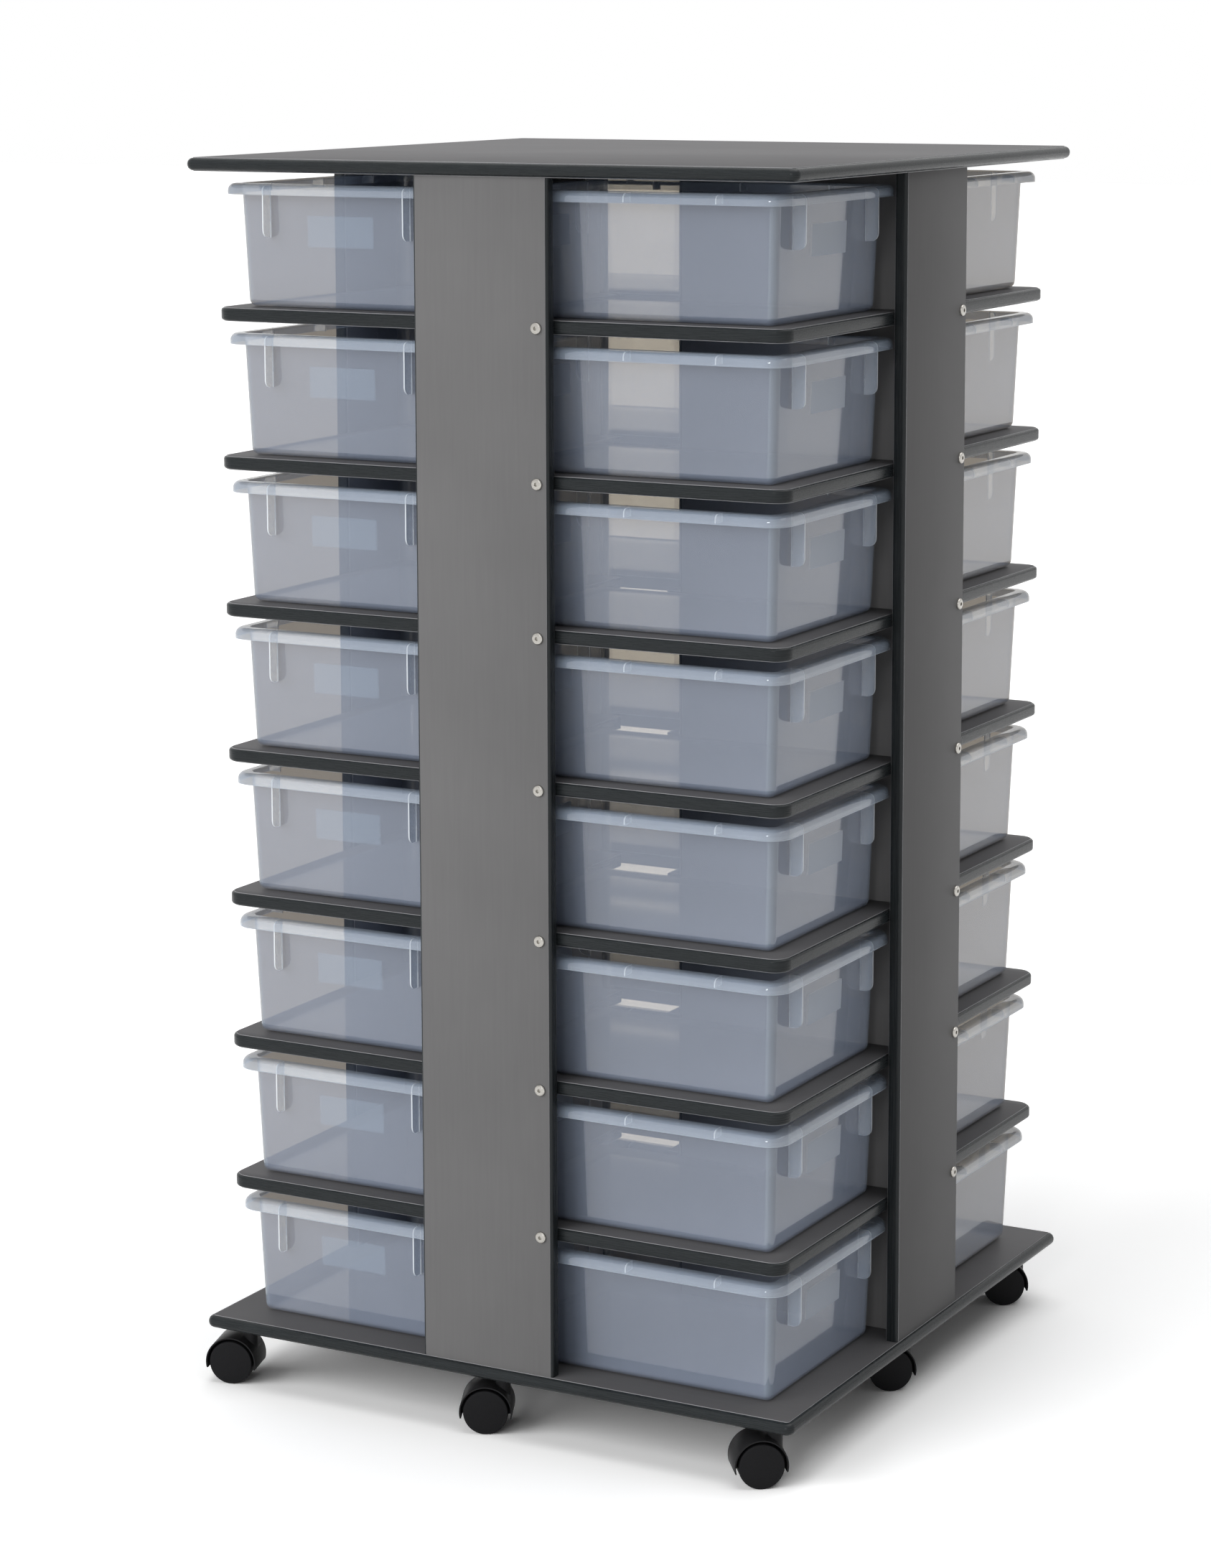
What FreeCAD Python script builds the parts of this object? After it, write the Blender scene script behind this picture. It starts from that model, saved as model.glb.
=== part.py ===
import FreeCAD, Part
import math
import os

# Classroom tray storage unit: four columns of clear trays stand round the centre of a square base
# like the vanes of a pinwheel, each column a quarter turn on from the last, between two square
# boards and on eight twin-wheel casters. Millimetres, +Z up, origin on the floor at the centre.
# Face 0 is the front (-Y), and faces 1 to 3 follow counter-clockwise as seen from above. One face
# and its column are drawn from the face's left corner: x along the face, y inward, z from the
# top of the base board. face_to_row puts them in place.

# Boards
board_thickness = 15.0
board_corner_radius = 10.0
board_edge_radius = 7.0
panel_setback = 7.0
panel_width = 165.0
panel_overlap = 36.0
panel_edge_radius = 3.0
shelf_corner_radius = 20.0
shelf_edge_bevel = 3.0
divider_length = 282.0
tiers = 8

# Trays
tray_length = 374.0
tray_width = 292.0
tray_height = 136.0
tray_wall = 2.0
tray_draft = 4.8
tray_corner_radius = 10.0
tray_bottom_chamfer = 6.0
rim_overhang = 16.0
rim_corner_radius = 26.0
rim_skirt_depth = 12.0
rim_chamfer = 8.0
fin_spacing = 179.0
fin_depth = 59.0
fin_thickness = 1.5
fin_corner_radius = 9.0
tray_side_clearance = 5.0
tray_headroom = 13.7
tray_seat_gap = 0.3

# Panel screws, into the shelf edges behind each face panel
screw_edge_distance = 14.0
screw_head_radius = 6.35
screw_head_top_radius = 4.4
screw_head_height = 3.0
screw_shank_radius = 2.5
screw_length = 50.0

# Casters
caster_inset = 37.0
caster_height = 66.0
caster_trail = 18.0
plate_size = 40.0
plate_thickness = 2.5
plate_corner_radius = 4.0
pintle_radius = 4.0
pintle_length = 12.0
wheel_diameter = 50.0
wheel_width = 18.0
wheel_edge_chamfer = 0.8
axle_radius = 3.0
hood_web = 7.0
hood_side_gap = 0.5
hood_wheel_gap = 3.0
hood_top_gap = 0.3
hood_lip = 1.5
hood_neck_radius = 8.5
hood_skirt_drop = 7.0
bore_clearance = 0.05
bore_end_clearance = 0.5
caster_trail_angles = {
    "front_left": -163.0,
    "front_middle": -155.0,
    "front_right": -143.5,
    "right_middle": -146.0,
    "back_right": -148.0,
    "back_middle": 136.0,
    "back_left": -170.0,
    "left_middle": -152.0,
}

# Sizes that follow
rim_inner_chamfer = rim_chamfer - tray_wall * (2 - math.sqrt(2))
bay_width = tray_width + 2 * tray_side_clearance
bay_length = tray_length + 2 * tray_side_clearance
bay_height = tray_height + tray_headroom + tray_seat_gap
shelf_inset = panel_setback + board_thickness
divider_face = shelf_inset + bay_width
board_side = 2 * shelf_inset + bay_width + board_thickness + bay_length
panel_left = divider_face - panel_overlap
panel_right = panel_left + panel_width
screw_x = panel_right - screw_edge_distance
tier_pitch = bay_height + board_thickness
column_height = tiers * tier_pitch - board_thickness
base_top = caster_height + board_thickness
wheel_radius = wheel_diameter / 2
swivel_radius = board_side / 2 - caster_inset

FACES = ("front", "right", "back", "left")
UP = FreeCAD.Vector(0, 0, 1)
RIGHT = FreeCAD.Vector(1, 0, 0)
ORIGIN = FreeCAD.Vector(0, 0, 0)


def vector(x, y, z=0.0):
    return FreeCAD.Vector(x, y, z)


def moved(shape, x, y, z):
    """A copy of the shape, shifted."""
    copy = shape.copy()
    copy.translate(vector(x, y, z))
    return copy


def face_to_row(shape, face):
    """A copy of the shape, taken from its face's own coordinates to the unit's."""
    copy = moved(shape, -board_side / 2, -board_side / 2, base_top)
    copy.rotate(ORIGIN, UP, 90.0 * face)
    return copy


def rounded_rectangle(width, length, radius, z=0.0):
    """A closed wire centred on the Z axis, with round corners."""
    x = width / 2
    y = length / 2
    inner_x = x - radius
    inner_y = y - radius
    diagonal = radius * math.sqrt(0.5)
    edges = []
    for sign_x, sign_y in ((1, -1), (1, 1), (-1, 1), (-1, -1)):
        on_x_side = vector(sign_x * x, sign_y * inner_y, z)
        on_y_side = vector(sign_x * inner_x, sign_y * y, z)
        middle = vector(sign_x * (inner_x + diagonal), sign_y * (inner_y + diagonal), z)
        start, end = (on_y_side, on_x_side) if sign_x == -sign_y else (on_x_side, on_y_side)
        if edges:
            edges.append(Part.LineSegment(last, start).toShape())
        else:
            first = start
        edges.append(Part.Arc(start, middle, end).toShape())
        last = end
    edges.append(Part.LineSegment(last, first).toShape())
    return Part.Wire(edges)


def block(wire, height):
    """A prism on a closed flat wire."""
    return Part.Face(wire).extrude(vector(0, 0, height))


def square_board():
    """The base and the top are the same board, rounded at the corners and along every edge."""
    outline = rounded_rectangle(board_side, board_side, board_corner_radius)
    board = block(outline, board_thickness)
    level_edges = []
    for edge in board.Edges:
        if edge.BoundBox.ZLength < board_thickness / 2:
            level_edges.append(edge)
    return board.makeFillet(board_edge_radius, level_edges)


def face_panel():
    """An upright on each face, with its four long edges eased."""
    outline = rounded_rectangle(panel_width, board_thickness, panel_edge_radius)
    middle = (panel_left + panel_right) / 2
    return moved(block(outline, column_height), middle, panel_setback + board_thickness / 2, 0)


def divider():
    """An upright square to the panel, flat against its back and full round at the inner end."""
    radius = board_thickness / 2
    left = divider_face
    right = divider_face + board_thickness
    end = shelf_inset + divider_length
    shoulder = end - radius
    outline = Part.Wire([
        Part.LineSegment(vector(left, shelf_inset), vector(right, shelf_inset)).toShape(),
        Part.LineSegment(vector(right, shelf_inset), vector(right, shoulder)).toShape(),
        Part.Arc(vector(right, shoulder), vector(left + radius, end), vector(left, shoulder)).toShape(),
        Part.LineSegment(vector(left, shoulder), vector(left, shelf_inset)).toShape(),
    ])
    return block(outline, column_height)


def shelf():
    """One shelf, with its free corner round and its two open edges bevelled."""
    front = shelf_inset
    left = shelf_inset
    right = divider_face
    back = shelf_inset + bay_length
    radius = shelf_corner_radius
    on_arc = radius * (1 - math.sqrt(0.5))
    outline = Part.Wire([
        Part.LineSegment(vector(left + radius, front), vector(right, front)).toShape(),
        Part.LineSegment(vector(right, front), vector(right, back)).toShape(),
        Part.LineSegment(vector(right, back), vector(left, back)).toShape(),
        Part.LineSegment(vector(left, back), vector(left, front + radius)).toShape(),
        Part.Arc(
            vector(left, front + radius),
            vector(left + on_arc, front + on_arc),
            vector(left + radius, front),
        ).toShape(),
    ])
    board = block(outline, board_thickness)
    open_edges = []
    for edge in board.Edges:
        box = edge.BoundBox
        level = box.ZLength < board_thickness / 2
        on_front = box.YMax < front + radius + 0.001 and box.XMax > left + radius / 2
        on_left = box.XMax < left + radius + 0.001
        if level and (on_front or on_left):
            open_edges.append(edge)
    return board.makeChamfer(shelf_edge_bevel, open_edges)


def panel_screw():
    """A button-head screw along +Y, its head seated on the plane y = 0."""
    profile = Part.makePolygon([
        vector(0, -screw_head_height),
        vector(screw_head_top_radius, -screw_head_height),
        vector(screw_head_radius, 0),
        vector(screw_shank_radius, 0),
        vector(screw_shank_radius, screw_length),
        vector(0, screw_length),
        vector(0, -screw_head_height),
    ])
    return Part.Face(profile).revolve(ORIGIN, vector(0, 1, 0), 360.0)


def tray_walls(offset):
    """A solid of the tray's drafted sides and bevelled floor, set in by an offset all round."""
    shoulder = tray_bottom_chamfer + offset * math.tan(math.pi / 8)
    outlines = []
    for height, bevel in ((offset, shoulder - offset), (shoulder, 0.0), (tray_height, 0.0)):
        lean = tray_draft * (1 - height / tray_height)
        inset = 2 * (rim_overhang + offset + bevel + lean)
        radius = tray_corner_radius - offset
        outline = rounded_rectangle(tray_width - inset, tray_length - inset, radius, height)
        outlines.append(outline)
    return Part.makeLoft(outlines, True, True)


def bevelled_slab(width, length, radius, bottom, height, bevel):
    """A slab on the Z axis with round corners, its top edge bevelled all round."""
    slab = block(rounded_rectangle(width, length, radius, bottom), height)
    top_edges = []
    for edge in slab.Edges:
        if edge.BoundBox.ZMin > bottom + height / 2:
            top_edges.append(edge)
    return slab.makeChamfer(bevel, top_edges)


def tray_rim():
    """The rim, bevelled outside, with its skirt turned down and hollow underneath."""
    bottom = tray_height - rim_skirt_depth
    outer = bevelled_slab(
        tray_width,
        tray_length,
        rim_corner_radius,
        bottom,
        rim_skirt_depth,
        rim_chamfer,
    )
    inner = bevelled_slab(
        tray_width - 2 * tray_wall,
        tray_length - 2 * tray_wall,
        rim_corner_radius - tray_wall,
        bottom,
        rim_skirt_depth - tray_wall,
        rim_inner_chamfer,
    )
    return outer.cut(inner)


def tray_fin(x):
    """A thin fin under the rim at the +Y end, from the wall to the inside of the skirt."""
    root = tray_length / 2 - rim_overhang - tray_draft - tray_wall
    tip = tray_length / 2 - tray_wall
    top = tray_height - tray_wall
    bottom = tray_height - fin_depth
    radius = fin_corner_radius
    on_arc = radius * (1 - math.sqrt(0.5))
    left = x - fin_thickness / 2
    bevel = rim_inner_chamfer
    outline = Part.Wire([
        Part.LineSegment(vector(left, root, top), vector(left, tip - bevel, top)).toShape(),
        Part.LineSegment(vector(left, tip - bevel, top), vector(left, tip, top - bevel)).toShape(),
        Part.LineSegment(vector(left, tip, top - bevel), vector(left, tip, bottom + radius)).toShape(),
        Part.Arc(
            vector(left, tip, bottom + radius),
            vector(left, tip - on_arc, bottom + on_arc),
            vector(left, tip - radius, bottom),
        ).toShape(),
        Part.LineSegment(vector(left, tip - radius, bottom), vector(left, root, bottom)).toShape(),
        Part.LineSegment(vector(left, root, bottom), vector(left, root, top)).toShape(),
    ])
    return Part.Face(outline).extrude(vector(fin_thickness, 0, 0))


def tray():
    """One tray, centred on the Z axis, with its underside at z = 0."""
    end_fins = [tray_fin(-fin_spacing / 2), tray_fin(fin_spacing / 2)]
    pieces = [tray_rim()]
    for fin in end_fins:
        other_end = fin.copy()
        other_end.rotate(ORIGIN, UP, 180.0)
        pieces.extend([fin, other_end])
    solid = tray_walls(0.0).fuse(pieces).cut(tray_walls(tray_wall))
    return solid.removeSplitter()


def caster_plate():
    """The mounting plate and the swivel pin riveted to it, hanging from z = 0."""
    plate = block(rounded_rectangle(plate_size, plate_size, plate_corner_radius), -plate_thickness)
    pin_top = vector(0, 0, -plate_thickness)
    pin = Part.makeCylinder(pintle_radius, pintle_length, pin_top, -UP)
    return plate.fuse(pin).removeSplitter()


def hood_profile():
    """The hood's side outline round the wheel centre: a round cover, cut off level at the skirt."""
    lip_radius = wheel_radius + hood_wheel_gap + hood_lip
    tip = math.sqrt(lip_radius ** 2 - hood_skirt_drop ** 2)
    rear_tip = vector(0, -tip, -hood_skirt_drop)
    front_tip = vector(0, tip, -hood_skirt_drop)
    return Part.Wire([
        Part.Arc(front_tip, vector(0, 0, lip_radius), rear_tip).toShape(),
        Part.LineSegment(rear_tip, front_tip).toShape(),
    ])


def caster_hood():
    """The hood over both wheels, its web between them and the neck round the swivel pin."""
    half_width = hood_web / 2 + hood_side_gap + wheel_width
    cover = Part.Face(hood_profile()).extrude(vector(2 * half_width, 0, 0))
    cover.translate(vector(-half_width, 0, 0))
    drum_radius = wheel_radius + hood_wheel_gap
    pin_depth = pintle_length + bore_end_clearance - hood_top_gap
    top = caster_height - plate_thickness - hood_top_gap - wheel_radius
    neck = Part.makeCylinder(hood_neck_radius, top, vector(0, -caster_trail, 0), UP)
    pin_seat = vector(0, -caster_trail, top - pin_depth)
    cuts = [
        Part.makeCylinder(drum_radius, half_width, vector(hood_web / 2, 0, 0), RIGHT),
        Part.makeCylinder(drum_radius, half_width, vector(-hood_web / 2, 0, 0), -RIGHT),
        Part.makeCylinder(axle_radius + bore_clearance, hood_web, vector(-hood_web / 2, 0, 0), RIGHT),
        Part.makeCylinder(pintle_radius + bore_clearance, pin_depth, pin_seat, UP),
    ]
    return cover.fuse(neck).cut(cuts)


def caster_wheels():
    """Both wheels and the axle that joins them, round the X axis at the origin."""
    inner = hood_web / 2 + hood_side_gap
    outer = inner + wheel_width
    shoulder = wheel_radius - wheel_edge_chamfer
    profile = Part.makePolygon([
        vector(-outer, 0),
        vector(-outer, shoulder),
        vector(-outer + wheel_edge_chamfer, wheel_radius),
        vector(-inner, wheel_radius),
        vector(-inner, axle_radius),
        vector(inner, axle_radius),
        vector(inner, wheel_radius),
        vector(outer - wheel_edge_chamfer, wheel_radius),
        vector(outer, shoulder),
        vector(outer, 0),
        vector(-outer, 0),
    ])
    return Part.Face(profile).revolve(ORIGIN, RIGHT, 360.0)


def caster_spots():
    """Where each caster's swivel axis meets the floor."""
    side = swivel_radius
    return {
        "front_left": (-side, -side),
        "front_middle": (0.0, -side),
        "front_right": (side, -side),
        "right_middle": (side, 0.0),
        "back_right": (side, side),
        "back_middle": (0.0, side),
        "back_left": (-side, side),
        "left_middle": (-side, 0.0),
    }


def save(name, solids):
    """Write one node from its solids."""
    shape = solids[0] if len(solids) == 1 else Part.makeCompound(solids)
    shape.exportStep(os.path.join("parts", name + ".step"))


def save_boards():
    board = square_board()
    save("base_board", [moved(board, 0, 0, caster_height)])
    save("top_board", [moved(board, 0, 0, base_top + column_height)])
    save("face_panels", [face_to_row(face_panel(), face) for face in range(4)])
    save("dividers", [face_to_row(divider(), face) for face in range(4)])
    one_shelf = shelf()
    for face, side in enumerate(FACES):
        shelves = []
        for tier in range(1, tiers):
            raised = moved(one_shelf, 0, 0, tier * tier_pitch - board_thickness)
            shelves.append(face_to_row(raised, face))
        save("shelves_" + side, shelves)


def save_screws():
    screw = panel_screw()
    screws = []
    for face in range(4):
        for tier in range(1, tiers):
            height = tier * tier_pitch - board_thickness / 2
            screws.append(face_to_row(moved(screw, screw_x, panel_setback, height), face))
    save("panel_screws", screws)


def save_trays():
    one_tray = tray()
    centre_x = shelf_inset + bay_width / 2
    centre_y = shelf_inset + bay_length / 2
    for face, side in enumerate(FACES):
        for tier in range(tiers):
            height = tier * tier_pitch + tray_seat_gap
            placed = face_to_row(moved(one_tray, centre_x, centre_y, height), face)
            save("tray_{}_{}".format(side, tier + 1), [placed])


def save_casters():
    hood = caster_hood()
    wheels = caster_wheels()
    plate = caster_plate()
    plates = []
    for name, (x, y) in caster_spots().items():
        plates.append(moved(plate, x, y, caster_height))
        for kind, shape in (("hood", hood), ("wheels", wheels)):
            placed = moved(shape, 0, caster_trail, wheel_radius)
            placed.rotate(ORIGIN, UP, caster_trail_angles[name] - 90.0)
            placed.translate(vector(x, y))
            save("caster_{}_{}".format(kind, name), [placed])
    save("caster_plates", plates)


os.makedirs("parts", exist_ok=True)
save_boards()
save_screws()
save_trays()
save_casters()
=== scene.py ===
import math
import bpy
from mathutils import Matrix, Vector


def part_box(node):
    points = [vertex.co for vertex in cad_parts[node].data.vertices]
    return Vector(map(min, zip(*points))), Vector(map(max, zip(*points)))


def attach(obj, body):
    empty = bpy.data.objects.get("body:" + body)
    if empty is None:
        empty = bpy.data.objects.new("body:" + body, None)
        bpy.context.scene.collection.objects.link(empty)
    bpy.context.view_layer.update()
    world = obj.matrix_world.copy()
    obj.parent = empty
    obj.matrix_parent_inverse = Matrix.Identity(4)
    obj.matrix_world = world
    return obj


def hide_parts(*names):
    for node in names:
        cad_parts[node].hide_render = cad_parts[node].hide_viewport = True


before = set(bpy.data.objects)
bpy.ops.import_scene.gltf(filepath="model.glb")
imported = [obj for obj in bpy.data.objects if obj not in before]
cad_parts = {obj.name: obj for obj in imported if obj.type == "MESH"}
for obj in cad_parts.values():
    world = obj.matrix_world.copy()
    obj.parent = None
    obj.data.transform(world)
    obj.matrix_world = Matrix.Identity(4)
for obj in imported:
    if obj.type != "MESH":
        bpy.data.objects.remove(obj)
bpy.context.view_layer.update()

bpy.context.scene.view_settings.view_transform = "Standard"


# The viewing place: a tall frame, from the height of a standing adult's eyes, a little to the
# right of the front face. The lens is shifted so that the uprights stay nearly upright.
camera_place = (2.0623, -3.8878, 1.5519)
camera_turn = 28.517
camera_tilt = 8.537
camera_roll = -0.164

camera_data = bpy.data.cameras.new("camera")
camera_data.lens = 88.56
camera_data.sensor_width = 36.0
camera_data.shift_y = -0.12
camera = bpy.data.objects.new("camera", camera_data)
bpy.context.scene.collection.objects.link(camera)
aim = Matrix.Rotation(math.radians(camera_turn), 4, "Z")
aim = aim @ Matrix.Rotation(math.radians(90 - camera_tilt), 4, "X")
aim = aim @ Matrix.Rotation(math.radians(camera_roll), 4, "Z")
camera.matrix_world = Matrix.Translation(camera_place) @ aim
bpy.context.scene.camera = camera


# The studio: a white floor that keeps the soft shadow, a white surround, and three far lamps: a
# strong one low from the front left, one overhead and a little behind, and a small one in front
# for glints. The floor and surround are tinted where a tray stands before them, in this scene only.
class Field:
    """A number, colour or vector in a finish; its operators add Math nodes."""

    def __init__(self, finish, socket):
        self.finish = finish
        self.socket = socket

    def maths(self, operation, first, second):
        return self.finish.node("ShaderNodeMath", {"operation": operation}, {0: first, 1: second})

    def __add__(self, other):
        return self.maths("ADD", self, other)

    def __mul__(self, other):
        return self.maths("MULTIPLY", self, other)

    def __pow__(self, other):
        return self.maths("POWER", self, other)

    def __gt__(self, other):
        return self.maths("GREATER_THAN", self, other)

    __radd__ = __add__
    __rmul__ = __mul__


class Finish:
    """A material or world made of nodes, one call for each node."""

    mix_amount, mix_first, mix_second = 0, 6, 7
    mix_colour = 2

    def __init__(self, holder, output_kind):
        holder.use_nodes = True
        self.holder = holder
        self.nodes = holder.node_tree.nodes
        self.links = holder.node_tree.links
        self.nodes.clear()
        self.output = self.nodes.new(output_kind)

    def node(self, kind, settings=None, inputs=None, output=0):
        """Add one node, set its options and then its inputs, and give back one of its outputs."""
        made = self.nodes.new(kind)
        for name, value in (settings or {}).items():
            setattr(made, name, value)
        for name, value in (inputs or {}).items():
            if isinstance(value, Field):
                self.links.new(value.socket, made.inputs[name])
            else:
                made.inputs[name].default_value = value
        return Field(self, made.outputs[output])

    def blend(self, amount, first, second):
        """Mix two colours by an amount from 0 to 1."""
        inputs = {self.mix_amount: amount, self.mix_first: first, self.mix_second: second}
        return self.node("ShaderNodeMix", {"data_type": "RGBA"}, inputs, self.mix_colour)

    def place(self, scale=(1, 1, 1)):
        """Where a point lies on the piece, in metres, stretched along each axis."""
        at = self.node("ShaderNodeTexCoord", output="Object")
        return self.node("ShaderNodeMapping", None, {"Vector": at, "Scale": scale})

    def noise(self, scale, detail=2.0, rough=0.5, at=None):
        inputs = {"Vector": at or self.place(), "Scale": scale, "Detail": detail, "Roughness": rough}
        return self.node("ShaderNodeTexNoise", None, inputs)

    def end(self, surface):
        self.links.new(surface.socket, self.output.inputs["Surface"])
        return self.holder


def new_finish(name):
    return Finish(bpy.data.materials.new(name), "ShaderNodeOutputMaterial")


surround_white = (1.0, 1.0, 1.0, 1)
# Seen through one tray, the floor and surround take a dim colour: painted shade.
painted_shade_behind_one_tray = (0.325, 0.288, 0.238, 1)
surround_through_more = (1.10, 0.98, 0.78, 1)
surround_fill = 0.20
skins_of_no_tray = 0.5
skins_of_one_tray = 4.5


def seen_or_mirrored(finish):
    """1 for a ray from the eye or off a glossy skin, 0 for one that only carries light."""
    seen = finish.node("ShaderNodeLightPath", output="Is Camera Ray")
    mirrored = finish.node("ShaderNodeLightPath", output="Is Glossy Ray")
    return finish.node("ShaderNodeMath", {"operation": "MAXIMUM"}, {0: seen, 1: mirrored})


def behind_trays(finish, bare):
    """A colour as it is by itself, darkened by painted shade behind one tray, and pale and warm behind
    several.

    The tint belongs to the studio, not to the unit. Without it the trays at the sides of the
    unit look much paler, so it stands in for haze that their plastic ought to have.
    """
    skins = finish.node("ShaderNodeLightPath", output="Transparent Depth")
    tint = finish.blend(skins > skins_of_no_tray, bare, painted_shade_behind_one_tray)
    return finish.blend(skins > skins_of_one_tray, tint, surround_through_more)


surround = Finish(bpy.context.scene.world or bpy.data.worlds.new("studio"), "ShaderNodeOutputWorld")
bpy.context.scene.world = surround.holder
tint = behind_trays(surround, surround_white)
shown = surround.node("ShaderNodeBackground", None, {"Color": tint, "Strength": 1.0})
fill = surround.node("ShaderNodeBackground", None, {"Color": surround_white, "Strength": surround_fill})
which = seen_or_mirrored(surround)
surround.end(surround.node("ShaderNodeMixShader", None, {0: which, 1: fill, 2: shown}))

floor_reach = 60.0
floor_white = (1.25, 1.25, 1.25, 1)
floor_bounce = (0.5, 0.5, 0.5, 1)

bpy.ops.mesh.primitive_plane_add(size=floor_reach)
studio_floor = bpy.context.object
studio_floor.name = "studio_floor"
floor_finish = new_finish("studio_floor")
tint = behind_trays(floor_finish, floor_white)
plain = floor_finish.node("ShaderNodeBsdfDiffuse", None, {"Color": floor_bounce})
white = floor_finish.node("ShaderNodeBsdfDiffuse", None, {"Color": tint})
which = seen_or_mirrored(floor_finish)
studio_floor.data.materials.append(
    floor_finish.end(floor_finish.node("ShaderNodeMixShader", None, {0: which, 1: plain, 2: white}))
)


def soft_sun(name, towards, spread, strength, glints):
    """A wide, far lamp that shines along a direction; its spread in degrees softens the shadow."""
    data = bpy.data.lights.new(name, "SUN")
    data.angle = math.radians(spread)
    data.energy = strength
    lamp = bpy.data.objects.new(name, data)
    bpy.context.scene.collection.objects.link(lamp)
    lamp.rotation_euler = Vector(towards).to_track_quat("-Z", "Y").to_euler()
    lamp.visible_glossy = glints


soft_sun("lamp_front_left", (0.50, 0.80, -0.34), 60, 2.9, False)
soft_sun("lamp_overhead", (-0.12, -0.20, -1.0), 60, 1.7, True)
soft_sun("lamp_front", (-0.20, 0.95, -0.35), 12, 0.35, True)


# The base and the top: the same square of laminated board, with round corners and a domed
# edging all round. The satin faces stand a little proud of the darker edging; they are painted darker
# than the uprights as shade, and their pale arris is a painted highlight.
board_corner_radius = 0.010
board_corner_segments = 8
board_edge_radius = 0.0065
board_edge_segments = 6
face_rise = 0.0006
arris_round = 0.0002
arris_segments = 2
board_smooth = 32
grain_along = 9.0
grain_across = 260.0
board_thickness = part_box("base_board")[1][2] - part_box("base_board")[0][2]


def pick(piece):
    """Make a piece the active one and the only one selected."""
    bpy.ops.object.select_all(action="DESELECT")
    piece.select_set(True)
    bpy.context.view_layer.objects.active = piece


def smooth(piece, degrees):
    """Shade a piece smooth, apart from edges that turn by more than an angle."""
    pick(piece)
    bpy.ops.object.shade_smooth_by_angle(angle=math.radians(degrees))


def box_piece(name, low, high):
    """A plain block between two corners, the start of a piece."""
    bpy.ops.object.select_all(action="DESELECT")
    middle = [(a + b) / 2 for a, b in zip(low, high)]
    size = [b - a for a, b in zip(low, high)]
    bpy.ops.mesh.primitive_cube_add(size=1, location=middle, scale=size)
    piece = bpy.context.object
    piece.name = name
    bpy.ops.object.transform_apply(location=True, rotation=True, scale=True)
    return piece


def select_edges(piece, wanted):
    """Select the edges of the open piece whose two ends pass a test."""
    bpy.ops.mesh.select_all(action="DESELECT")
    bpy.ops.mesh.select_mode(type="EDGE")
    bpy.ops.object.mode_set(mode="OBJECT")
    places = [v.co for v in piece.data.vertices]
    for edge in piece.data.edges:
        edge.select = wanted(places[edge.vertices[0]], places[edge.vertices[1]])
    bpy.ops.object.mode_set(mode="EDIT")


def select_faces(piece, wanted):
    """Select the faces of the open piece whose middle and normal pass a test."""
    bpy.ops.mesh.select_all(action="DESELECT")
    bpy.ops.mesh.select_mode(type="FACE")
    bpy.ops.object.mode_set(mode="OBJECT")
    for face in piece.data.polygons:
        face.select = wanted(face.center, face.normal)
    bpy.ops.object.mode_set(mode="EDIT")


# A length too small to matter, and how much of a normal lies along an axis for its face to
# count as square or roughly square to that axis.
hair = 0.001
square = 0.9999
roughly_square = 0.9


def upright_edge(a, b):
    return abs(a.z - b.z) > hair


def raise_faces(piece, axis):
    """Raise the two broad faces of the open piece above its edging, with a fine arris."""
    for way in (1, -1):
        rise = Vector((0, 0, 0))
        rise[axis] = way * face_rise
        select_faces(piece, lambda middle, normal: normal[axis] * way > square)
        bpy.ops.mesh.extrude_region_move(TRANSFORM_OT_translate={"value": rise})
        bpy.ops.mesh.region_to_loop()
        bpy.ops.mesh.bevel(offset=arris_round, segments=arris_segments, affect="EDGES")


def finish_board(piece, axis, face_finish, edge_finish):
    """Give the raised faces one finish, the edging between them another, the arrises a third."""
    face_slot, edging_slot, arris_slot = range(3)
    for finish in (face_finish, edge_finish, arris_painted_highlight):
        piece.data.materials.append(finish)
    depths = [corner[axis] for corner in piece.bound_box]
    low, high = min(depths) + face_rise, max(depths) - face_rise
    for face in piece.data.polygons:
        if low < face.center[axis] < high:
            face.material_index = edging_slot
        elif abs(face.normal[axis]) > square:
            face.material_index = face_slot
        else:
            face.material_index = arris_slot
    smooth(piece, board_smooth)


def board_face_finish(name, grain, dark, pale):
    """Grey-stained veneer: fine grain along one axis, faint clouds, a satin sheen."""
    stretch = [grain_along if axis == grain else grain_across for axis in range(3)]
    finish = new_finish(name)
    fibre = finish.noise(1.0, 4.0, 0.65, finish.place(stretch))
    pore = finish.noise(3.0, 2.0, 0.5, finish.place(stretch))
    cloud = finish.noise(6.0, 3.0, 0.55)
    shade = 0.62 * cloud + 0.38 * fibre
    colour = finish.blend(shade, dark, pale)
    height = finish.node("ShaderNodeBump", None, {"Strength": 0.08, "Distance": 0.0004, "Height": pore})
    surface = finish.node("ShaderNodeBsdfPrincipled", None, {
        "Base Color": colour,
        "Roughness": 0.42 + 0.12 * fibre,
        "Specular IOR Level": 0.06,
        "Normal": height,
    })
    return finish.end(surface)


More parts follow.
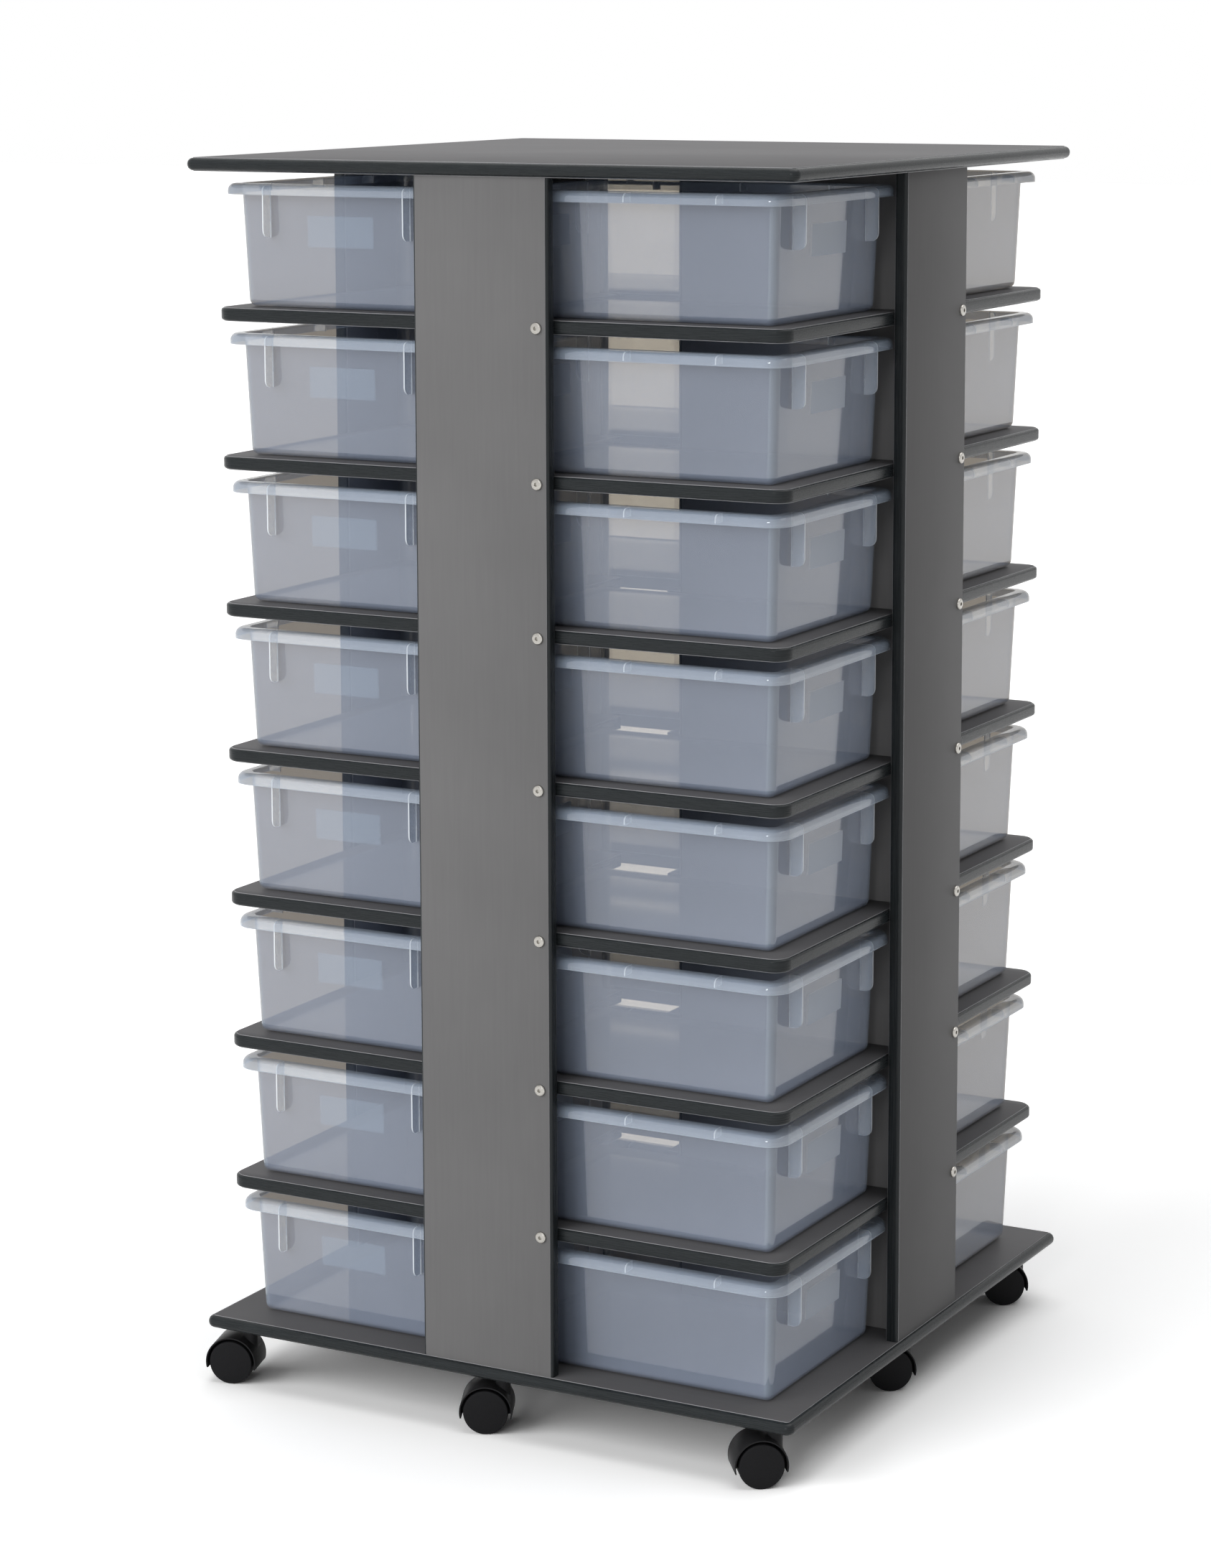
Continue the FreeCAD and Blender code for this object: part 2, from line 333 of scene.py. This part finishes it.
def edging_finish(name, stretch):
    """Hard edging: near-black with a cool cast, drawn out in streaks, with a wet gloss."""
    finish = new_finish(name)
    streak = finish.noise(1.0, 3.0, 0.6, finish.place(stretch))
    pit = finish.noise(420.0, 2.0, 0.5)
    colour = finish.blend(streak, (0.007, 0.009, 0.010, 1), (0.026, 0.030, 0.032, 1))
    height = finish.node("ShaderNodeBump", None, {"Strength": 0.35, "Distance": 0.0004, "Height": pit})
    surface = finish.node("ShaderNodeBsdfPrincipled", None, {
        "Base Color": colour,
        "Roughness": 0.16 + 0.24 * streak,
        "Specular IOR Level": 0.18,
        "Normal": height,
    })
    return finish.end(surface)


def arris_highlight_finish():
    """The fine arris of the veneer, painted paler than the face as a highlight line, and smoother."""
    finish = new_finish("arris_painted_highlight")
    glint_patch = finish.noise(60.0, 3.0, 0.6)
    surface = finish.node("ShaderNodeBsdfPrincipled", None, {
        "Base Color": finish.blend(glint_patch, (0.16, 0.16, 0.17, 1), (0.34, 0.34, 0.35, 1)),
        "Roughness": 0.25 + 0.15 * glint_patch,
    })
    return finish.end(surface)


# The pale arris colour is a painted highlight along the edges of every board.
arris_painted_highlight = arris_highlight_finish()
# The level faces take a darker copy of the upright veneer: painted shade on the tops of the boards and
# shelves.
level_shaded_dark, level_shaded_pale = (0.070, 0.069, 0.072, 1), (0.116, 0.114, 0.117, 1)
upright_dark, upright_pale = (0.125, 0.124, 0.125, 1), (0.185, 0.183, 0.184, 1)
veneer_level_shaded = board_face_finish("veneer_level_shaded", 0, level_shaded_dark, level_shaded_pale)
veneer_upright = board_face_finish("veneer_upright", 2, upright_dark, upright_pale)
edging_level = edging_finish("edging_level", (40.0, 40.0, 900.0))
edging_upright = edging_finish("edging_upright", (900.0, 900.0, 12.0))

for node in ("base_board", "top_board"):
    low, high = (Vector(corner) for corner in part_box(node))
    rise = Vector((0, 0, face_rise))
    board = box_piece(node + "_veneered", low + rise, high - rise)
    bpy.ops.object.mode_set(mode="EDIT")
    select_edges(board, upright_edge)
    bpy.ops.mesh.bevel(offset=board_corner_radius, segments=board_corner_segments, affect="EDGES")
    select_faces(board, lambda middle, normal: abs(normal.z) > roughly_square)
    bpy.ops.mesh.region_to_loop()
    bpy.ops.mesh.bevel(offset=board_edge_radius, segments=board_edge_segments, affect="EDGES")
    raise_faces(board, 2)
    bpy.ops.object.mode_set(mode="OBJECT")
    finish_board(board, 2, veneer_level_shaded, edging_level)
    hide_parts(node)
    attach(board, "unit")


# The face panels: one upright on each side of the unit, of the same board, its long edges
# eased, glued to a divider behind it and screwed into the edges of the shelves.
def quarter_turn(face):
    return Matrix.Rotation(math.radians(90 * face), 4, "Z")


def copy_piece(piece, name, matrix):
    """A copy with its own mesh, its place in the mesh."""
    copy = bpy.data.objects.new(name, piece.data.copy())
    copy.data.transform(matrix)
    bpy.context.scene.collection.objects.link(copy)
    return copy


def join_pieces(pieces):
    """Join pieces into the first of them."""
    pick(pieces[0])
    for piece in pieces:
        piece.select_set(True)
    bpy.ops.object.join()
    return pieces[0]


def one_on_each_side(piece):
    """A piece joined with its three quarter turns round the unit."""
    return join_pieces([piece] + [copy_piece(piece, "turned", quarter_turn(face)) for face in (1, 2, 3)])


column_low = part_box("base_board")[1][2]
column_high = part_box("top_board")[0][2]
unit_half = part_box("base_board")[1][0]
panel_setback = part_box("face_panels")[1][0]
panel_front = -panel_setback
panel_back = panel_front + board_thickness
panel_width = 0.165
panel_inset = 0.288
panel_left = -unit_half + panel_inset
panel_edge_radius = 0.003
panel_edge_segments = 5

panel = box_piece("panel_start", (panel_left, panel_front + face_rise, column_low),
                  (panel_left + panel_width, panel_back - face_rise, column_high))
bpy.ops.object.mode_set(mode="EDIT")
select_edges(panel, upright_edge)
bpy.ops.mesh.bevel(offset=panel_edge_radius, segments=panel_edge_segments, affect="EDGES")
raise_faces(panel, 1)
bpy.ops.object.mode_set(mode="OBJECT")
finish_board(panel, 1, veneer_upright, edging_upright)
panel = one_on_each_side(panel)
panel.name = "face_panels_veneered"
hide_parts("face_panels")
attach(panel, "unit")


# The dividers: uprights square to the panels, part the columns, and stop short of each other
# round an open core.
divider_inset = 0.324
divider_left = -unit_half + divider_inset
divider_right = divider_left + board_thickness
divider_length = 0.282
inner_end = panel_back + divider_length
divider_end_radius = 0.0065
divider_end_segments = 8

divider = box_piece("divider_start", (divider_left + face_rise, panel_back, column_low),
                    (divider_right - face_rise, inner_end, column_high))
bpy.ops.object.mode_set(mode="EDIT")
select_edges(divider, lambda a, b: upright_edge(a, b) and a.y > inner_end - hair)
bpy.ops.mesh.bevel(offset=divider_end_radius, segments=divider_end_segments, affect="EDGES")
raise_faces(divider, 0)
bpy.ops.object.mode_set(mode="OBJECT")
finish_board(divider, 0, veneer_upright, edging_upright)
divider = one_on_each_side(divider)
divider.name = "dividers_veneered"
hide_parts("dividers")
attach(divider, "unit")


# The shelves: seven to a column, with a round outer corner and eased open edges, held by
# the dividers at the sides and by a screw through the next panel.
shelf_corner_radius = 0.020
shelf_corner_segments = 10
shelf_edge_radius = 0.003
shelf_edge_segments = 4
sides = ("front", "right", "back", "left")
tiers = 8
shelf_low, shelf_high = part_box("shelves_front")
tier_pitch = (shelf_high[2] - shelf_low[2] - board_thickness) / (tiers - 2)


def outer_corner(point, reach):
    """Whether a point lies near the shelf's outer corner."""
    return point.x < shelf_low[0] + reach and point.y < shelf_low[1] + reach


def open_side(point):
    """Whether a point lies on one of the two sides that no board covers, or on their corner."""
    on_side = point.x < shelf_low[0] + hair or point.y < shelf_low[1] + hair
    return on_side or outer_corner(point, shelf_corner_radius + hair)


shelf = box_piece("shelf_start", (shelf_low[0], shelf_low[1], shelf_low[2] + face_rise),
                  (shelf_high[0], shelf_high[1], shelf_low[2] + board_thickness - face_rise))
bpy.ops.object.mode_set(mode="EDIT")
select_edges(shelf, lambda a, b: upright_edge(a, b) and outer_corner(a, hair))
bpy.ops.mesh.bevel(offset=shelf_corner_radius, segments=shelf_corner_segments, affect="EDGES")
select_edges(shelf, lambda a, b: not upright_edge(a, b) and open_side(a) and open_side(b))
bpy.ops.mesh.bevel(offset=shelf_edge_radius, segments=shelf_edge_segments, affect="EDGES")
raise_faces(shelf, 2)
bpy.ops.object.mode_set(mode="OBJECT")
finish_board(shelf, 2, veneer_level_shaded, edging_level)

for face, side in enumerate(sides):
    stack = []
    for tier in range(tiers - 1):
        lift = Matrix.Translation((0, 0, tier * tier_pitch))
        stack.append(copy_piece(shelf, "shelf", quarter_turn(face) @ lift))
    stack = join_pieces(stack)
    stack.name = "shelves_" + side + "_veneered"
    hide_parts("shelves_" + side)
    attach(stack, "unit")
bpy.data.objects.remove(shelf)


# The panel screws: nickel-plated furniture screws with a low button head and a hexagon socket,
# seated on the panel at the middle of each shelf's thickness.
def nickel_finish():
    finish = new_finish("nickel")
    scuff = finish.noise(900.0, 2.0, 0.6)
    surface = finish.node("ShaderNodeBsdfPrincipled", None, {
        "Base Color": finish.blend(scuff, (0.30, 0.29, 0.27, 1), (0.56, 0.54, 0.50, 1)),
        "Metallic": 1.0,
        "Roughness": 0.22 + 0.16 * scuff,
    })
    return finish.end(surface)


nickel = nickel_finish()
head_radius = 0.00635
head_height = 0.003
head_round = 0.0019
head_round_segments = 5
head_sides = 32
head_smooth = 35
socket_radius = 0.0023
socket_depth = 0.0021
socket_sides = 6
screw_inset = 0.014
screw_x = panel_left + panel_width - screw_inset

bpy.ops.object.select_all(action="DESELECT")
bpy.ops.mesh.primitive_cylinder_add(vertices=head_sides, radius=head_radius, depth=head_height)
screw = bpy.context.object
screw.name = "screw_start"
bpy.ops.object.mode_set(mode="EDIT")
select_faces(screw, lambda middle, normal: normal.z > roughly_square)
bpy.ops.mesh.region_to_loop()
bpy.ops.mesh.bevel(offset=head_round, segments=head_round_segments, affect="EDGES")
bpy.ops.object.mode_set(mode="OBJECT")
bpy.ops.mesh.primitive_cylinder_add(vertices=socket_sides, radius=socket_radius,
                                    depth=2 * socket_depth, location=(0, 0, head_height / 2))
key = bpy.context.object
socket = screw.modifiers.new("socket", "BOOLEAN")
socket.operation = "DIFFERENCE"
socket.object = key
bpy.context.view_layer.objects.active = screw
bpy.ops.object.modifier_apply(modifier="socket")
bpy.data.objects.remove(key)
screw.data.materials.clear()
screw.data.materials.append(nickel)
for face in screw.data.polygons:
    face.material_index = 0
smooth(screw, head_smooth)
screw.data.transform(Matrix.Rotation(math.radians(90), 4, "X"))
screw.data.transform(Matrix.Translation((screw_x, panel_front - head_height / 2, 0)))

screws = []
for face in range(4):
    for tier in range(tiers - 1):
        height = shelf_low[2] + board_thickness / 2 + tier * tier_pitch
        lift = Matrix.Translation((0, 0, height))
        screws.append(copy_piece(screw, "screw", quarter_turn(face) @ lift))
bpy.data.objects.remove(screw)
screws = join_pieces(screws)
screws.name = "panel_screws_plated"
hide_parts("panel_screws")
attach(screws, "unit")


# The trays: thin clear-frosted plastic, moulded in one piece, with drafted sides, a rim turned
# down all round, thin fins and webs under the rim, and a matte label field on each end wall.
tray_wall = 0.002
rim_overhang = 0.016
rim_corner_radius = 0.026
rim_corner_segments = 9
rim_skirt_depth = 0.012
rim_edge_radius = 0.008
rim_edge_segments = 5
mouth_edge_radius = 0.0025
mouth_edge_segments = 3
tray_draft = 0.0048
floor_edge_radius = 0.0065
floor_edge_segments = 5
crease = math.radians(60)
tray_smooth = 40
fin_spacing = 0.179
fin_depth = 0.059
fin_thickness = 0.0015
fin_corner_radius = 0.009
fin_corner_segments = 6
web_spacing = 0.108
web_depth = 0.011
label_width = 0.084
label_top = 0.0345
label_bottom = 0.0685
skin_mirror = 0.05
skin_gloss = 0.06
skin_matte = 0.45
wall_slot, rim_slot, edge_highlight_slot, label_slot = range(4)


def tray_plastic(name, dull, bright, cover, skin_roughness=skin_gloss):
    """Milky clear plastic: the light comes through, the haze is even, and the skin mirrors."""
    finish = new_finish(name)
    haze = finish.noise(14.0, 2.0, 0.5)
    facing = finish.node("ShaderNodeLayerWeight", None, {"Blend": 0.5}, "Facing")
    body = finish.node("ShaderNodeBsdfPrincipled", None, {
        "Base Color": finish.blend(haze, dull, bright),
        "Roughness": 0.35 + 0.1 * haze,
        "Alpha": cover + 0.25 * facing ** 3.0,
        "IOR": 1.2,
    })
    skin = finish.node("ShaderNodeBsdfGlossy", None, {
        "Color": (1, 1, 1, 1),
        "Roughness": skin_roughness,
    })
    share = skin_mirror + 0.70 * facing ** 5.0
    return finish.end(finish.node("ShaderNodeMixShader", None, {0: share, 1: body, 2: skin}))


# The third plastic, near-white and dense, is a painted highlight along the narrow edges of the fins and
# webs.
tray_plastics = (
    tray_plastic("tray_wall", (0.52, 0.61, 0.79, 1), (0.58, 0.67, 0.86, 1), 0.16),
    tray_plastic("tray_rim", (0.50, 0.60, 0.74, 1), (0.58, 0.68, 0.82, 1), 0.24),
    tray_plastic("tray_edge_painted_highlight", (0.80, 0.86, 0.92, 1), (0.90, 0.94, 0.98, 1), 0.70),
    tray_plastic("tray_label", (0.50, 0.60, 0.76, 1), (0.56, 0.66, 0.82, 1), 0.24, skin_matte),
)
tray_low, tray_high = (Vector(corner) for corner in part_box("tray_front_1"))
tray_size = tray_high - tray_low
tray_top = tray_high.z
tray_middle = (tray_low + tray_high) / 2

bpy.ops.object.select_all(action="DESELECT")
bpy.ops.mesh.primitive_plane_add(size=1)
tray = bpy.context.object
tray.name = "tray_start"
tray.scale = (tray_size.x, tray_size.y, 1)
bpy.ops.object.transform_apply(location=True, rotation=True, scale=True)
bpy.ops.object.mode_set(mode="EDIT")
bpy.ops.mesh.select_all(action="SELECT")
bpy.ops.mesh.bevel(offset=rim_corner_radius, segments=rim_corner_segments, affect="VERTICES")
bpy.ops.mesh.select_all(action="SELECT")
bpy.ops.mesh.region_to_loop()
bpy.ops.mesh.extrude_region_move(TRANSFORM_OT_translate={"value": (0, 0, -rim_skirt_depth)})
bpy.ops.mesh.select_all(action="DESELECT")
bpy.ops.mesh.edges_select_sharp(sharpness=crease)
bpy.ops.mesh.bevel(offset=rim_edge_radius, segments=rim_edge_segments, affect="EDGES")
select_faces(tray, lambda middle, normal: abs(normal.z) > square)
bpy.ops.mesh.inset(thickness=rim_overhang + tray_wall - rim_edge_radius, depth=0.0)
inner_floor = tray_wall - tray_size.z
bpy.ops.mesh.extrude_region_move(TRANSFORM_OT_translate={"value": (0, 0, inner_floor)})
mouth_width = tray_size.x - 2 * (rim_overhang + tray_wall)
mouth_length = tray_size.y - 2 * (rim_overhang + tray_wall)
draft = (1 - 2 * tray_draft / mouth_width, 1 - 2 * tray_draft / mouth_length, 1)
bpy.ops.transform.resize(value=draft)
bpy.ops.mesh.region_to_loop()
bpy.ops.mesh.bevel(offset=floor_edge_radius, segments=floor_edge_segments, affect="EDGES")
bpy.ops.mesh.select_all(action="DESELECT")
bpy.ops.mesh.edges_select_sharp(sharpness=crease)
bpy.ops.mesh.bevel(offset=mouth_edge_radius, segments=mouth_edge_segments, affect="EDGES")


def end_wall(middle, normal):
    """Whether a face is one of the two drafted end walls, inside the skirt and over the floor."""
    drafted, skirt, lowest_middle = 0.995, 0.01, -0.12
    inside_skirt = abs(middle.y) < tray_size.y / 2 - skirt
    return abs(normal.y) > drafted and inside_skirt and middle.z > lowest_middle


def label_column(middle, normal):
    """Whether a face of an end wall is as far in as the label field."""
    return end_wall(middle, normal) and abs(middle.x) < label_width / 2


def on_round_corner(normal):
    """Whether a face stands upright and slants across a corner."""
    across, upright = 0.25, 0.3
    return min(abs(normal.x), abs(normal.y)) > across and abs(normal.z) < upright


# The label field is marked off on each end wall by four straight cuts.
for way in (-1, 1):
    select_faces(tray, end_wall)
    bpy.ops.mesh.bisect(plane_co=(way * label_width / 2, 0, 0), plane_no=(1, 0, 0))
for depth in (label_top, label_bottom):
    select_faces(tray, label_column)
    bpy.ops.mesh.bisect(plane_co=(0, 0, -depth), plane_no=(0, 0, 1))
bpy.ops.object.mode_set(mode="OBJECT")
for plastic in tray_plastics:
    tray.data.materials.append(plastic)
for face in tray.data.polygons:
    outside = abs(face.center.x) > mouth_width / 2 or abs(face.center.y) > mouth_length / 2
    in_field = label_column(face.center, face.normal) and label_top < -face.center.z < label_bottom
    face.material_index = wall_slot
    if in_field:
        face.material_index = label_slot
    elif on_round_corner(face.normal) or outside and face.center.z > -rim_skirt_depth:
        face.material_index = rim_slot
wall = tray.modifiers.new("wall", "SOLIDIFY")
wall.thickness = tray_wall
wall.offset = -1.0
wall.use_even_offset = True
wall.material_offset_rim = rim_slot - wall_slot
bpy.ops.object.modifier_apply(modifier="wall")


def under_rim_rib(across, along, depth):
    """A thin rib on the +Y side, from the wall to the skirt, its corner round like the rim's."""
    sunk, into_wall, tip, tiny = 0.9 * tray_wall, 0.0015, 0.003, 0.0001
    outer = across / 2 - sunk
    rib = box_piece("rib", (along - fin_thickness / 2, across / 2 - rim_overhang - into_wall, -depth),
                    (along + fin_thickness / 2, outer, -sunk))
    bpy.ops.object.mode_set(mode="EDIT")
    select_edges(rib, lambda a, b: min(a.y, b.y) > outer - tiny and min(a.z, b.z) > -tip)
    bpy.ops.mesh.bevel(offset=rim_edge_radius - tray_wall, segments=rim_edge_segments, affect="EDGES")
    if depth > fin_corner_radius + rim_edge_radius:
        select_edges(rib, lambda a, b: min(a.y, b.y) > outer - tiny and max(a.z, b.z) < tiny - depth)
        bpy.ops.mesh.bevel(offset=fin_corner_radius, segments=fin_corner_segments, affect="EDGES")
    bpy.ops.object.mode_set(mode="OBJECT")
    for plastic in tray_plastics:
        rib.data.materials.append(plastic)
    for face in rib.data.polygons:
        # The ribs' narrow edges take the edge plastic: a painted highlight.
        face.material_index = rim_slot if abs(face.normal.x) > roughly_square else edge_highlight_slot
    return rib


ribs = [tray]
for turn in (0, 180):
    half_turn = Matrix.Rotation(math.radians(turn), 4, "Z")
    for x in (-fin_spacing / 2, fin_spacing / 2):
        fin = under_rim_rib(tray_size.y, x, fin_depth)
        fin.data.transform(half_turn)
        ribs.append(fin)
    for y in (-web_spacing, 0, web_spacing):
        web = under_rim_rib(tray_size.x, y, web_depth)
        web.data.transform(half_turn @ Matrix.Rotation(math.radians(90), 4, "Z"))
        ribs.append(web)
tray = join_pieces(ribs)
smooth(tray, tray_smooth)
flat_walls = tray.modifiers.new("flat_walls", "WEIGHTED_NORMAL")
flat_walls.weight = 100
flat_walls.keep_sharp = True
bpy.ops.object.modifier_apply(modifier="flat_walls")
tray.data.transform(Matrix.Translation((tray_middle.x, tray_middle.y, tray_top)))

for face, side in enumerate(sides):
    for tier in range(tiers):
        node = "tray_{}_{}".format(side, tier + 1)
        lift = Matrix.Translation((0, 0, tier * tier_pitch))
        moulded = copy_piece(tray, node + "_moulded", quarter_turn(face) @ lift)
        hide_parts(node)
        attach(moulded, node)
bpy.data.objects.remove(tray)


# The casters: a nickel-plated plate with a swivel pin, a black moulded hood over twin wheels, and
# the wheels themselves, of harder black plastic, flat-faced, on one axle.
def caster_plastic(name, dark, pale, low_gloss):
    finish = new_finish(name)
    grain = finish.noise(700.0, 2.0, 0.5)
    height = finish.node("ShaderNodeBump", None, {"Strength": 0.12, "Distance": 0.0003, "Height": grain})
    surface = finish.node("ShaderNodeBsdfPrincipled", None, {
        "Base Color": finish.blend(grain, dark, pale),
        "Roughness": low_gloss + 0.12 * grain,
        "Specular IOR Level": 0.12,
        "Normal": height,
    })
    return finish.end(surface)


hood_dark, hood_pale = (0.010, 0.010, 0.011, 1), (0.018, 0.018, 0.019, 1)
wheel_dark, wheel_pale = (0.006, 0.006, 0.007, 1), (0.012, 0.012, 0.013, 1)
hood_plastic = caster_plastic("hood_plastic", hood_dark, hood_pale, 0.34)
wheel_plastic = caster_plastic("wheel_plastic", wheel_dark, wheel_pale, 0.42)
caster_edge_radius = 0.0005
caster_edge_segments = 2
caster_edge_angle = math.radians(38)
caster_smooth = 40
same_place = 0.00001
same_plane = math.radians(0.5)

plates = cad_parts["caster_plates"]
plates.data.materials.clear()
plates.data.materials.append(nickel)


def eased_copy(node, name):
    """A node's own shape with its sharp edges eased."""
    piece = copy_piece(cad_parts[node], name, Matrix.Identity(4))
    pick(piece)
    bpy.ops.object.mode_set(mode="EDIT")
    bpy.ops.mesh.select_all(action="SELECT")
    bpy.ops.mesh.remove_doubles(threshold=same_place)
    bpy.ops.mesh.dissolve_limited(angle_limit=same_plane)
    bpy.ops.object.mode_set(mode="OBJECT")
    ease = piece.modifiers.new("ease", "BEVEL")
    ease.width = caster_edge_radius
    ease.segments = caster_edge_segments
    ease.limit_method = "ANGLE"
    ease.angle_limit = caster_edge_angle
    bpy.ops.object.modifier_apply(modifier="ease")
    smooth(piece, caster_smooth)
    return piece


for node in sorted(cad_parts):
    if node.startswith("caster_hood_") or node.startswith("caster_wheels_"):
        is_hood = node.startswith("caster_hood_")
        piece = eased_copy(node, node + "_moulded")
        piece.data.materials.clear()
        piece.data.materials.append(hood_plastic if is_hood else wheel_plastic)
        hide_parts(node)
        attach(piece, node)
